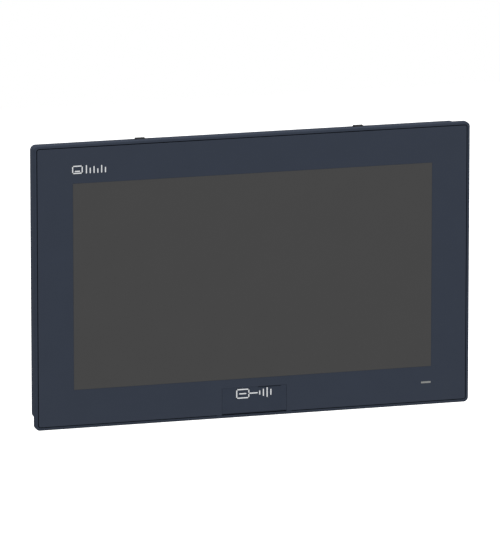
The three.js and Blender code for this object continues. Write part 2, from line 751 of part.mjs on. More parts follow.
// Two rows of slots, cut through the top wall and the back wall.
function ventSlots() {
  const slots = [];
  const cutDepth = coverSheet + 2 * past;
  const middle = housingDepth + coverDepth / 2;
  const top = coverHeight / 2;
  for (let index = 0; index < ventCount; index += 1) {
    const x = (index - (ventCount - 1) / 2) * ventPitch;
    slots.push(plate(ventOutline(x, top - ventDrop), coverBack + past - cutDepth, coverBack + past, 1));
    const upper = new THREE.ExtrudeGeometry(
      ventOutline(x, middle), { depth: cutDepth, bevelEnabled: false, curveSegments: 1 });
    upper.translate(0, 0, top + past - cutDepth);
    slots.push(toSolid(upper));
  }
  return slots;
}

function makeCover() {
  const shell = roundedPlate(coverWidth, coverHeight, coverCornerRadius, housingDepth, coverBack);
  const flange = roundedPlate(
    coverWidth + 2 * coverFlange, coverHeight + 2 * coverFlange, coverCornerRadius,
    housingDepth, housingDepth + coverSheet);
  const inside = roundedPlate(
    coverWidth - 2 * coverSheet, coverHeight - 2 * coverSheet, coverCornerRadius - coverSheet,
    housingDepth - past, coverBack - coverSheet);
  const body = joined([shell, flange]).subtract(inside);
  const floorTop = coverFloor + coverSheet + past;
  const floorCut = (x, width, y0, y1) => block(
    x - width / 2, x + width / 2, y0, y1, coverFloor - past, floorTop);
  const earSpan = ports.card.width;
  const slotHalf = card.height / 2 + seat;
  const serialBack = boardBack + serial.base + serial.bodyHeight;
  return cut(joined([body, ...cardEars()]), [
    ...hollowPorts.map(([, port]) => floorCut(
      port.x, port.width + 2 * seat, boardBack - seat, boardBack + port.height + 2 * seat)),
    floorCut(ports.serial.x, serial.bodyWidth + 2 * seat, boardBack + serial.base - seat, serialBack + seat),
    floorCut(ports.card.x, card.width - 2 * seat, cardSlotY - slotHalf, cardSlotY + slotHalf),
    barZ(reset.radius + reset.gap, coverFloor - past, floorTop, ports.reset.x, resetY),
    barZ(ground.radius + fit, coverFloor - past, floorTop, ports.ground.x, groundY),
    barX(cardDoor.pinRadius + fit, ports.card.x - earSpan, ports.card.x + earSpan, cardPivot.y, cardPivot.z),
    ...coverScrewPlaces.map(([x, z]) => barY(
      coverScrew.radius + fit, housingDepth - past, housingDepth + coverSheet + past, x, z)),
    ...ventSlots(),
  ]);
}

function addCover() {
  addPiece(panel, 'rear_cover', makeCover(), 'paint');
  coverScrewPlaces.forEach(([x, z], index) => {
    const solid = panScrew(coverScrew, backWallFront - coverScrew.tipInset, housingDepth + coverSheet);
    const screw = addPiece(panel, `cover_screw_${index + 1}`, solid, 'steel');
    screw.position.set(x, 0, z);
  });
  const { width, height, inset, thickness } = typePlate;
  const edge = housingWidth / 2 - inset;
  const label = block(edge - width, edge, housingDepth, housingDepth + thickness, -height / 2, height / 2);
  addPiece(panel, 'type_plate', label, 'aluminium');
}

function makePort({ x, width, height, length, mouth, cavities }) {
  const face = coverFloor + mouth;
  const back = boardBack + seat;
  const body = block(x - width / 2, x + width / 2, back, back + height, face, face + length);
  return cut(body, cavities.map(({ wide, tall, base, depth }) => block(
    x - wide / 2, x + wide / 2, back + base, back + base + tall, face - past, face + depth)));
}

// The trapezoid outline of a D-shaped connector, wide side towards the back of the box.
function serialOutline(width, height, centre) {
  const { slope } = serialShell;
  const shape = new THREE.Shape();
  shape.moveTo(-width / 2 + slope, centre - height / 2);
  shape.lineTo(width / 2 - slope, centre - height / 2);
  shape.lineTo(width / 2, centre + height / 2);
  shape.lineTo(-width / 2, centre + height / 2);
  shape.closePath();
  return shape;
}

function serialPrism(width, height, centre, z0, z1) {
  const geometry = new THREE.ExtrudeGeometry(
    serialOutline(width, height, centre), { depth: z1 - z0, bevelEnabled: false });
  geometry.translate(ports.serial.x, 0, z0);
  return toSolid(geometry);
}

function makeSerial() {
  const { x } = ports.serial;
  const base = boardBack + serial.base;
  const centre = base + serial.bodyHeight / 2;
  const face = coverFloor - fit;
  const body = block(
    x - serial.bodyWidth / 2, x + serial.bodyWidth / 2, base, base + serial.bodyHeight,
    face - serialFlange.thickness, face + serial.bodyLength);
  const flange = block(
    x - serialFlange.width / 2, x + serialFlange.width / 2, centre - serialFlange.height / 2,
    centre + serialFlange.height / 2, face - serialFlange.thickness, face);
  const mouth = face - serialFlange.thickness - serialShell.reach;
  const shell = serialPrism(serial.shellWidth, serial.shellHeight, centre, mouth, face);
  const cavity = serialPrism(
    serial.shellWidth - 2 * serialShell.wall, serial.shellHeight - 2 * serialShell.wall, centre,
    mouth - past, mouth + serialShell.depth);
  const jacks = [-1, 1].map((side) => hexZ(
    serialJack.radius, mouth + serialJack.short, face, x + side * serialJack.spacing / 2, centre));
  return joined([body, flange, shell, ...jacks]).subtract(cavity);
}

function makeCardSocket() {
  const { x } = ports.card;
  const face = coverFloor + coverSheet + seat;
  const outer = block(
    x - card.width / 2 - card.wall, x + card.width / 2 + card.wall, boardBack + seat,
    cardSlotY + card.height / 2 + card.wall, face, face + card.depth);
  const cavity = block(
    x - card.width / 2, x + card.width / 2, cardSlotY - card.height / 2, cardSlotY + card.height / 2,
    face - past, face + card.depth - card.back);
  return outer.subtract(cavity);
}

function addCardDoor() {
  const { x, width } = ports.card;
  const half = width / 2 - cardDoor.ear - cardDoor.earGap;
  const { y, z } = cardPivot;
  const top = coverFloor - cardDoor.gap;
  const leaf = block(x - half, x + half, y - cardDoor.length, y, top - cardDoor.thickness, top);
  const barrel = barX(cardDoor.barrelRadius, x - half, x + half, y, z);
  const bore = barX(cardDoor.pinRadius + fit, x - half - past, x + half + past, y, z);
  addPiece(panel, 'card_door', leaf.add(barrel).subtract(bore), 'blackPlastic');
  addPiece(panel, 'card_door_pin', barX(cardDoor.pinRadius, x - width / 2, x + width / 2, y, z), 'steel');
}

function addElectronics() {
  const boardHalf = coverWidth / 2 - boardMargin;
  const boardBottom = coverFloor + coverSheet + boardFloorGap;
  const boardTop = coverHeight / 2 - boardMargin;
  const board = block(-boardHalf, boardHalf, boardFront, boardBack, boardBottom, boardTop);
  addPiece(panel, 'mainboard', board.add(makeResetSwitch()), 'circuit');
  const { left, right, bottom, top } = heatSpreader;
  addPiece(panel, 'heat_spreader', block(
    left, right, boardBack + seat, coverBack - coverSheet, bottom, top), 'aluminium');

  addPiece(panel, 'backup_battery', barY(
    backupCell.radius, boardBack + fit, boardBack + fit + backupCell.thickness,
    backupCell.x, backupCell.z), 'steel');

  hollowPorts.forEach(([name, port]) => {
    addPiece(panel, name, makePort(port), name === 'power_inlet' ? 'blackPlastic' : 'steel');
  });
  addPiece(panel, 'serial_port', makeSerial(), 'steel');
  addPiece(panel, 'card_socket', makeCardSocket(), 'blackPlastic');
  addCardDoor();
}

// The switch on the mainboard that the reset button's stem presses.
function makeResetSwitch() {
  const { x } = ports.reset;
  const { halfWidth, halfHeight, length, gap } = resetSwitch;
  const face = coverFloor + reset.recess + reset.length + reset.travel + gap;
  return block(x - halfWidth, x + halfWidth, boardFront, resetY + halfHeight, face, face + length);
}

function addResetButton() {
  const { x } = ports.reset;
  const { radius, flangeRadius, flange, recess, length } = reset;
  const face = coverFloor + recess;
  const shelf = coverFloor + coverSheet + seat;
  const stem = barZ(radius, face, face + length, x, resetY);
  const collar = barZ(flangeRadius, shelf, shelf + flange, x, resetY);
  addPiece(panel, 'reset_button', stem.add(collar), 'blackPlastic');
}

function addGroundStud() {
  const { x } = ports.ground;
  const { radius, headRadius, head, length, nutRadius, nut } = ground;
  const shelf = coverFloor + coverSheet;
  const shank = barZ(radius, coverFloor - length, shelf + root, x, groundY);
  addPiece(panel, 'ground_stud', shank.add(barZ(headRadius, shelf, shelf + head, x, groundY)), 'steel');
  const hex = hexZ(nutRadius, coverFloor - nut, coverFloor, x, groundY);
  const bore = barZ(radius + fit, coverFloor - nut - past, coverFloor + past, x, groundY);
  addPiece(panel, 'ground_nut', hex.subtract(bore), 'zinc');
}

// ---------------------------------------------------------------- assembly

addFront();
addStatusLight();
addHatch();
addFrontSocket();
addDisplay();
addHousing();
clampPlaces.forEach(addClamp);
addCover();
addElectronics();
addResetButton();
addGroundStud();

export default panel;
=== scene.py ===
import math
import random

import bmesh
import bpy
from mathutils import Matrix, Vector


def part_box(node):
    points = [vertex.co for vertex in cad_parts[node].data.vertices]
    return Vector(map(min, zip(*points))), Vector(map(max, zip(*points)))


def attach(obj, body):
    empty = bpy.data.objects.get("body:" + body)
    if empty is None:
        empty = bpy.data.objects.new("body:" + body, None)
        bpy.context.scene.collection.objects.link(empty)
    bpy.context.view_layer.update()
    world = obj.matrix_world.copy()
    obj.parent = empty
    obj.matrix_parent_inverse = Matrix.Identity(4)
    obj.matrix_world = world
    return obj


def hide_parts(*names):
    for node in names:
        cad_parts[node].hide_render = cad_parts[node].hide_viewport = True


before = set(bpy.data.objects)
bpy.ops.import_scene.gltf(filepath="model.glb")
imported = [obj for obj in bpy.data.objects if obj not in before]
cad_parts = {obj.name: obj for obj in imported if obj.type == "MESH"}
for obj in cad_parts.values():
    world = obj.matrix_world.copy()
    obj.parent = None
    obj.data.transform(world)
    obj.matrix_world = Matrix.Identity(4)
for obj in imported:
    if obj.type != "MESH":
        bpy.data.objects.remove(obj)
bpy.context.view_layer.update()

MM = 0.001
CORNERS = range(1, 5)

# How far the printed fields of the type plate, and the printed marks, stand proud.
FIELD_INK = 0.03 * MM
MARK_INK = 0.04 * MM

# ------------------------------------------------------------------ materials


class Nodes:
    """A material's node tree with short ways to add and link nodes."""

    def __init__(self, name):
        self.material = bpy.data.materials.new(name)
        self.material.use_nodes = True
        self.tree = self.material.node_tree
        self.shader = self.tree.nodes["Principled BSDF"]
        self.place = self.tree.nodes.new("ShaderNodeTexCoord").outputs["Object"]

    def add(self, kind, **values):
        node = self.tree.nodes.new(kind)
        for key, value in values.items():
            if hasattr(node, key):
                setattr(node, key, value)
            else:
                node.inputs[key.replace("_", " ")].default_value = value
        return node

    def link(self, output, target):
        self.tree.links.new(output, target)

    def stretched(self, scale):
        """The object's coordinates, scaled differently along each axis."""
        mapping = self.add("ShaderNodeMapping")
        mapping.inputs["Scale"].default_value = scale
        self.link(self.place, mapping.inputs["Vector"])
        return mapping.outputs["Vector"]

    def noise(self, scale, detail=3.0, roughness=0.55, place=None):
        node = self.add("ShaderNodeTexNoise", Scale=scale, Detail=detail, Roughness=roughness)
        self.link(place or self.place, node.inputs["Vector"])
        return node.outputs["Fac"]

    def cells(self, scale):
        node = self.add("ShaderNodeTexVoronoi", Scale=scale)
        self.link(self.place, node.inputs["Vector"])
        return node.outputs["Distance"]

    def spread(self, value, low, high, start=0.3, end=0.7):
        node = self.add("ShaderNodeMapRange", From_Min=start, From_Max=end, To_Min=low, To_Max=high)
        self.link(value, node.inputs["Value"])
        return node.outputs["Result"]

    def times(self, first, second):
        node = self.add("ShaderNodeMath", operation="MULTIPLY")
        self.link(first, node.inputs[0])
        self.link(second, node.inputs[1])
        return node.outputs[0]

    def blend(self, factor, first, second):
        node = self.add("ShaderNodeMix", data_type="RGBA")
        self.link(factor, node.inputs[0])
        for socket, colour in ((node.inputs[6], first), (node.inputs[7], second)):
            if isinstance(colour, tuple):
                socket.default_value = colour
            else:
                self.link(colour, socket)
        return node.outputs[2]

    def edges(self, radius):
        """One along the outer edges of the piece, zero on its flats."""
        rounded = self.add("ShaderNodeBevel", samples=4, Radius=radius)
        geometry = self.add("ShaderNodeNewGeometry")
        dot = self.add("ShaderNodeVectorMath", operation="DOT_PRODUCT")
        self.link(rounded.outputs[0], dot.inputs[0])
        self.link(geometry.outputs["Normal"], dot.inputs[1])
        return self.spread(dot.outputs["Value"], 1.0, 0.0, 0.80, 0.995)

    def bump(self, height, distance, rounding=0.0):
        node = self.add("ShaderNodeBump", Distance=distance)
        self.link(height, node.inputs["Height"])
        if rounding:
            rounded = self.add("ShaderNodeBevel", samples=4, Radius=rounding)
            self.link(rounded.outputs[0], node.inputs["Normal"])
        self.link(node.outputs["Normal"], self.shader.inputs["Normal"])


def linear(red, green, blue):
    """An sRGB colour from 0 to 255 as the linear colour that the shader wants."""
    def one(value):
        value /= 255
        return value / 12.92 if value <= 0.04045 else ((value + 0.055) / 1.055) ** 2.4
    return (one(red), one(green), one(blue), 1.0)


def shaded(colour, factor):
    return tuple(min(1.0, c * factor) for c in colour[:3]) + (1.0,)


def surface(name, colour, roughness, metallic=0.0, specular=0.5, mottle=0.06, mottle_scale=90,
            grain=0.0, grain_scale=2500, rough_spread=0.05, edge_highlight_and_wear=None, stretch=None, peel=0.0, coat=0.0,
            rounding=0.0):
    """A finish with slow colour drift, a fine grain, uneven gloss and, if asked, paler edges: a painted edge
    highlight, broken into patches like wear.
    """
    n = Nodes(name)
    drift = n.noise(mottle_scale, 4.0)
    base = n.blend(n.spread(drift, 0.0, 1.0), shaded(colour, 1 - mottle), shaded(colour, 1 + mottle))
    place = n.stretched(stretch) if stretch else None
    fine = n.noise(grain_scale, 2.0, place=place)
    if peel:
        fine = n.blend(n.spread(n.cells(grain_scale / 3), 0.0, peel, 0.1, 0.7), fine, (1, 1, 1, 1))
    # Paler colour along the edges from the bevel mask, broken by noise: a painted edge highlight, patchy like
    # wear.
    if edge_highlight_and_wear:
        highlight_and_wear_mask = n.times(n.edges(0.3 * MM), n.spread(n.noise(420, 3.0), 0.0, 0.5, 0.45, 0.75))
        base = n.blend(highlight_and_wear_mask, base, edge_highlight_and_wear)
    n.link(base, n.shader.inputs["Base Color"])
    n.link(n.spread(fine, roughness - rough_spread, roughness + rough_spread), n.shader.inputs["Roughness"])
    n.shader.inputs["Metallic"].default_value = metallic
    n.shader.inputs["Specular IOR Level"].default_value = specular
    n.shader.inputs["Coat Weight"].default_value = coat
    if grain:
        n.bump(fine, grain, rounding)
    return n.material


NAVY = linear(51, 58, 71)
GOLD = linear(214, 178, 104)
# The paint's paler edge colour is a painted edge highlight, patchy like wear.
paint = surface("paint", NAVY, 0.55, specular=0.1, mottle=0.035, grain=0.00003, grain_scale=2600, peel=0.5,
                edge_highlight_and_wear=linear(84, 92, 106), rounding=0.35 * MM)
film = surface("film", NAVY, 0.55, specular=0.14, mottle=0.02, mottle_scale=40,
               grain=0.000006, grain_scale=5200)
window = surface("window", linear(70, 70, 70), 0.5, specular=0.14, mottle=0.012, mottle_scale=30,
                 grain=0.000006, grain_scale=6400, peel=0.6)
glass = surface("glass", linear(34, 38, 42), 0.1, mottle=0.03, coat=0.4)
light_window = surface("light_window", linear(142, 143, 142), 0.45, specular=0.2, mottle=0.05,
                       mottle_scale=700, grain=0.00001)
ink = surface("ink", linear(226, 228, 230), 0.6, specular=0.2, mottle=0.04, mottle_scale=1500)
rubber = surface("rubber", linear(26, 27, 29), 0.85, specular=0.22, mottle=0.18, mottle_scale=500,
                 grain=0.00004, grain_scale=1800)
black_plastic = surface("black_plastic", linear(26, 27, 29), 0.55, specular=0.4, grain=0.00002,
                        grain_scale=3500)
blue_plastic = surface("blue_plastic", linear(34, 74, 138), 0.45, specular=0.4, grain=0.00001,
                       grain_scale=3500)
# The claws' paler edge colour is a painted edge highlight, patchy like wear.
black_metal = surface("black_metal", linear(40, 42, 46), 0.5, metallic=0.4, grain=0.00004, grain_scale=1600,
                      peel=0.5, edge_highlight_and_wear=linear(116, 118, 122))
steel = surface("steel", linear(178, 181, 185), 0.3, metallic=1.0, mottle_scale=320, rough_spread=0.1,
                grain=0.000004, stretch=(1, 6, 1))
zinc = surface("zinc", linear(170, 174, 178), 0.4, metallic=1.0, mottle=0.14, mottle_scale=260,
               rough_spread=0.12)
gold = surface("gold", GOLD, 0.28, metallic=1.0, mottle=0.05, mottle_scale=900)
circuit = surface("circuit", linear(26, 78, 52), 0.38, mottle=0.28, mottle_scale=620, grain=0.00002)
white_plastic = surface("white_plastic", linear(214, 215, 213), 0.5, grain=0.00001)
clear_plastic = surface("clear_plastic", linear(200, 208, 212), 0.15, mottle=0.03)
green_lens = surface("green_lens", linear(96, 168, 104), 0.2, mottle=0.12, mottle_scale=1400, coat=0.4)
amber_lens = surface("amber_lens", linear(206, 150, 62), 0.2, mottle=0.12, mottle_scale=1400, coat=0.4)
aluminium = surface("aluminium", linear(186, 189, 192), 0.36, metallic=1.0, rough_spread=0.1,
                    stretch=(1, 1, 12), grain=0.000005)

NODE_MATERIALS = {
    paint: ["front_bezel", "usb_hatch", "rear_housing", "rear_cover"],
    film: ["border_film"],
    window: ["window_film"],
    glass: ["touch_glass", "lcd_cell"],
    light_window: ["status_light_window"],
    rubber: ["glass_tape", "panel_gasket", "hatch_seal"],
    black_plastic: ["power_inlet", "card_socket", "card_door", "reset_button"],
    black_metal: [f"clamp_claw_{i}" for i in CORNERS],
    zinc: ["display_back_tray", "display_bracket_left", "display_bracket_right", "ground_nut"],
    circuit: ["status_light_board", "front_usb_board", "touch_controller_board", "mainboard"],
    white_plastic: ["optical_sheets", "led_strip"],
    clear_plastic: ["light_guide_plate", "status_light_guide"],
    aluminium: ["heat_spreader", "type_plate"],
}

# The rounding of each CAD node's sharp edges, in millimetres; the others get DEFAULT_ROUNDING.
DEFAULT_ROUNDING = 0.12
NODE_ROUNDING = {
    "usb_hatch": 0.12,
    "border_film": 0.03, "window_film": 0.03, "touch_glass": 0.1, "power_inlet": 0.3, "card_door": 0.25,
    "type_plate": 0.1, **{f"clamp_claw_{i}": 0.45 for i in CORNERS},
}


def shading_tree(angle):
    """Geometry nodes that smooth every face and keep the edges sharper than an angle."""
    tree = bpy.data.node_groups.new("smooth_by_angle", "GeometryNodeTree")
    tree.interface.new_socket("Geometry", in_out="INPUT", socket_type="NodeSocketGeometry")
    tree.interface.new_socket("Geometry", in_out="OUTPUT", socket_type="NodeSocketGeometry")
    start = tree.nodes.new("NodeGroupInput")
    end = tree.nodes.new("NodeGroupOutput")
    faces = tree.nodes.new("GeometryNodeSetShadeSmooth")
    faces.domain = "FACE"
    edges = tree.nodes.new("GeometryNodeSetShadeSmooth")
    edges.domain = "EDGE"
    between = tree.nodes.new("GeometryNodeInputMeshEdgeAngle")
    gentle = tree.nodes.new("FunctionNodeCompare")
    gentle.operation = "LESS_EQUAL"
    gentle.inputs["B"].default_value = angle
    tree.links.new(between.outputs["Unsigned Angle"], gentle.inputs["A"])
    tree.links.new(gentle.outputs["Result"], edges.inputs["Shade Smooth"])
    tree.links.new(start.outputs[0], faces.inputs["Geometry"])
    tree.links.new(faces.outputs["Geometry"], edges.inputs["Geometry"])
    tree.links.new(edges.outputs["Geometry"], end.inputs[0])
    return tree


SMOOTHING = shading_tree(math.radians(38))


# These keep their modelled edges, because rounding tears faces that hold many holes.
PIERCED = ("front_bezel", "rear_cover", "rear_housing", "mainboard")


def soften(obj, width, segments=3):
    """Merges a CAD mesh's flat faces, rounds its sharp edges a little and smooths its round faces."""
    weld = obj.modifiers.new("weld", "WELD")
    weld.merge_threshold = 0.002 * MM
    if obj.name in PIERCED:
        smooth = obj.modifiers.new("smooth", "NODES")
        smooth.node_group = SMOOTHING
        return
    flats = obj.modifiers.new("flats", "DECIMATE")
    flats.decimate_type = "DISSOLVE"
    flats.angle_limit = math.radians(0.5)
    rounding = obj.modifiers.new("rounding", "BEVEL")
    rounding.width = width
    rounding.segments = segments
    rounding.limit_method = "ANGLE"
    rounding.angle_limit = math.radians(40)
    rounding.miter_outer = "MITER_ARC"
    smooth = obj.modifiers.new("smooth", "NODES")
    smooth.node_group = SMOOTHING
    shade = obj.modifiers.new("shade", "WEIGHTED_NORMAL")
    shade.keep_sharp = True


def dress_frame():
    chosen = {node: material for material, nodes in NODE_MATERIALS.items() for node in nodes}
    for name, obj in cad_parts.items():
        obj.data.materials.clear()
        obj.data.materials.append(chosen.get(name, steel))
        soften(obj, NODE_ROUNDING.get(name, DEFAULT_ROUNDING) * MM)


# ------------------------------------------------------------------ mesh helpers


def add_piece(name, bm, material, body, replaced=()):
    """Turns a bmesh into a named piece that rides on a body."""
    bmesh.ops.recalc_face_normals(bm, faces=bm.faces)
    mesh = bpy.data.meshes.new(name)
    bm.to_mesh(mesh)
    bm.free()
    obj = bpy.data.objects.new(name, mesh)
    bpy.context.scene.collection.objects.link(obj)
    mesh.materials.append(material)
    smooth = obj.modifiers.new("smooth", "NODES")
    smooth.node_group = SMOOTHING
    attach(obj, body)
    if replaced:
        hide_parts(*replaced)
    return obj


def add_block(bm, low, high, edge=0.0):
    """A box between two corners, with its edges rounded by edge."""
    low, high = Vector(low), Vector(high)
    made = bmesh.ops.create_cube(bm, size=1.0)["verts"]
    size, middle = high - low, (low + high) / 2
    for vert in made:
        vert.co = Vector((vert.co.x * size.x, vert.co.y * size.y, vert.co.z * size.z)) + middle
    if edge:
        edges = list({e for v in made for e in v.link_edges})
        rounding = {"offset": edge, "segments": 3, "profile": 0.5, "affect": "EDGES", "clamp_overlap": True}
        bmesh.ops.bevel(bm, geom=edges, **rounding)


def loft(bm, rings):
    """Joins rings of equally many points, and closes the first and the last."""
    rows = [[bm.verts.new(point) for point in ring] for ring in rings]
    for first, second in zip(rows, rows[1:]):
        for i, vert in enumerate(first):
            j = (i + 1) % len(first)
            bm.faces.new((vert, first[j], second[j], second[i]))
    bm.faces.new(rows[0])
    bm.faces.new(tuple(reversed(rows[-1])))


AROUND = 48


def turned(bm, place, profile):
    """A solid turned about the Y axis through place; each row is y and a radius or a radius by angle."""
    rings = []
    for y, radius in profile:
        ring = []
        for step in range(AROUND):
            angle = math.tau * step / AROUND
            r = radius(angle) if callable(radius) else radius
            ring.append((place[0] + r * math.cos(angle), y, place[1] + r * math.sin(angle)))
        rings.append(ring)
    loft(bm, rings)


def thread_rows(start, end, radius, pitch, depth):
    """Rows of a helical thread between two places on its axis."""
    steps = max(4, int(abs(end - start) / pitch * 8))
    rows = []
    for step in range(steps + 1):
        y = start + (end - start) * step / steps
        fade = min(1.0, 4 * step / steps, 4 * (steps - step) / steps)

        def at(angle, y=y, fade=fade):
            phase = (y / pitch - angle / math.tau) % 1.0
            return radius - depth * fade * abs(2 * phase - 1)
        rows.append((y, at))
    return rows


def lobes(radius, depth=0.13, count=6):
    return lambda angle: radius * (1 + depth * math.cos(count * angle))


def hexagon(apothem):
    return lambda angle: apothem / math.cos((angle + math.pi / 6) % (math.pi / 3) - math.pi / 6)


def screw(node, body, head_height, shank, pitch, recess):
    """A pan-head screw with a rounded head, a driver recess and a thread, in place of its CAD solid."""
    low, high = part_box(node)
    centre = ((low.x + high.x) / 2, (low.z + high.z) / 2)
    head = (high.x - low.x) / 2
    seat = high.y - head_height
    crown = 0.45 * head_height
    rows = [(low.y, 0.55 * shank), (low.y + 0.5 * pitch, 0.85 * shank)]
    rows += thread_rows(low.y + 0.6 * pitch, seat - 0.4 * pitch, shank, pitch, 0.5 * pitch)
    rows += [(seat, shank), (seat, 0.94 * head), (seat + 0.05 * head_height, head)]
    for step in range(7):
        angle = math.pi / 2 * step / 6
        rows.append((high.y - crown + crown * math.sin(angle), head * (0.72 + 0.28 * math.cos(angle))))
    floor = high.y - 0.6 * head_height
    mouth = 0.5 * head
    rows += [(high.y, recess(mouth * 1.08)), (high.y - 0.06 * head_height, recess(mouth))]
    rows += [(floor, recess(mouth * 0.97)), (floor - 0.08 * head_height, 0.08 * head)]
    bm = bmesh.new()
    turned(bm, centre, rows)
    add_piece(f"{node}_fine", bm, steel, body, [node])


def strokes(bm, front, lines, width, thickness=MARK_INK):
    """Printed strokes: each line is a row of (x, z) points joined by thin raised bars facing -Y."""
    for line in lines:
        for first, second in zip(line, line[1:]):
            a, b = Vector(first), Vector(second)
            along = (b - a).normalized() * width / 2
            across = Vector((-along.y, along.x))
            a, b = a - along, b + along
            corners = [a - across, b - across, b + across, a + across]
            loft(bm, [[(c.x, front, c.y) for c in corners], [(c.x, front - thickness, c.y) for c in corners]])


def rectangle(left, right, bottom, top):
    return [(left, bottom), (right, bottom), (right, top), (left, top), (left, bottom)]


# ------------------------------------------------------------------ the printed marks


def printed_marks():
    """Generic pictograms: a screen with bars at the top left, and a plug outline on the hatch."""
    low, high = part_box("border_film")
    front = low.y
    left, bottom = -172.2 * MM, 106.3 * MM
    tall = 6.6 * MM
    lines = [rectangle(left, left + 9 * MM, bottom, bottom + tall)]
    lines.append([(left + 2.6 * MM, bottom + 1.8 * MM), (left + 6.4 * MM, bottom + 1.8 * MM)])
    for i, share in enumerate((1.0, 0.6, 0.8, 0.45, 0.9, 0.6)):
        x = left + (13 + 3.6 * i) * MM
        lines.append([(x, bottom), (x, bottom + tall * share)])
    bm = bmesh.new()
    strokes(bm, front, lines, 1.05 * MM)
    add_piece("front_mark", bm, ink, "housing")
    low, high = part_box("usb_hatch")
    middle = (low.x + high.x) / 2 - 0.3 * MM
    level = -111 * MM
    half = 4 * MM
    lines = [rectangle(middle - 16.6 * MM, middle - 5 * MM, level - half, level + half)]
    lines.append([(middle - 13.6 * MM, level), (middle - 8 * MM, level)])
    lines.append([(middle - 5 * MM, level), (middle + 3 * MM, level)])
    for i, share in enumerate((0.35, 0.7, 1.0, 0.55)):
        x = middle + (5.5 + 3.6 * i) * MM
        lines.append([(x, level - half * share), (x, level + half * share)])
    bm = bmesh.new()
    strokes(bm, low.y, lines, 1.1 * MM)
    add_piece("hatch_mark", bm, ink, "hatch")


# ------------------------------------------------------------------ fasteners, gasket and clamps


def fasteners():
    for i in CORNERS:
        screw(f"housing_screw_{i}", "housing", 2.4 * MM, 2 * MM, 0.7 * MM, lobes)
        screw(f"cover_screw_{i}", "housing", 2 * MM, 1.5 * MM, 0.5 * MM, lobes)
        screw(f"clamp_screw_{i}", f"clamp_{i}_screw", 3 * MM, 2 * MM, 0.7 * MM, hexagon)


def rounded_path(half_x, half_z, radius, steps=10):
    points = []
    for quarter, (sx, sz) in enumerate(((1, 1), (-1, 1), (-1, -1), (1, -1))):
        for step in range(steps + 1):
            angle = math.pi / 2 * (quarter + step / steps)
            points.append((sx * (half_x - radius), sz * (half_z - radius), math.cos(angle), math.sin(angle)))
    return points


def gasket():
    """A soft rubber bead: flat where it sits in its groove, rounded where it meets the cabinet."""
    low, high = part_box("panel_gasket")
    width, radius = 2 * MM, 3 * MM
    crown = 0.45 * MM
    shoulder = high.y - crown
    half = width / 2
    section = [(0, low.y), (width, low.y), (width, shoulder)]
    for step in range(1, 8):
        angle = math.pi * step / 8
        section.append((half + half * math.cos(angle), shoulder + crown * math.sin(angle)))
    section.append((0, shoulder))
    bm = bmesh.new()
    rows = []
    for x, z, cos, sin in rounded_path(high.x, high.z, radius):
        rows.append([bm.verts.new((x + (radius - u) * cos, y, z + (radius - u) * sin)) for u, y in section])
    for first, second in zip(rows, rows[1:] + rows[:1]):
        for i, vert in enumerate(first):
            j = (i + 1) % len(first)
            bm.faces.new((vert, first[j], second[j], second[i]))
    add_piece("gasket_bead", bm, rubber, "housing", ["panel_gasket"])


def claw_teeth():
    """Ridges across the face of each claw that bites the cabinet's sheet."""
    for i in CORNERS:
        low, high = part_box(f"clamp_claw_{i}")
        up = 1 if high.z > 0 else -1
        tip = high.z if up > 0 else low.z
        middle = (low.x + high.x) / 2 - 0.3 * up * MM
        bm = bmesh.new()
        root, crest, half = low.y + 0.05 * MM, low.y - 0.3 * MM, 0.4 * MM
        for tooth in range(4):
            z = tip - up * (0.9 + 0.9 * tooth) * MM
            ring = [(root, z - half), (crest, z), (root, z + half)]
            loft(bm, [[(middle + side * 3.6 * MM, y, w) for y, w in ring] for side in (-1, 1)])
        add_piece(f"claw_teeth_{i}", bm, black_metal, f"clamp_{i}_claw")


# ------------------------------------------------------------------ connectors


# Half the width of a USB tongue, and the distance between its contacts.
TONGUE_HALF = 5.2 * MM
USB_PITCH = 2.3 * MM


def contact_row(bm, xs, y, z_range, half=0.3 * MM, thick=0.25 * MM):
    for x in xs:
        add_block(bm, (x - half, y - thick, z_range[0]), (x + half, y + thick, z_range[1]), 0.08 * MM)


def evenly(middle, spacing, count):
    return [middle + spacing * (i - (count - 1) / 2) for i in range(count)]


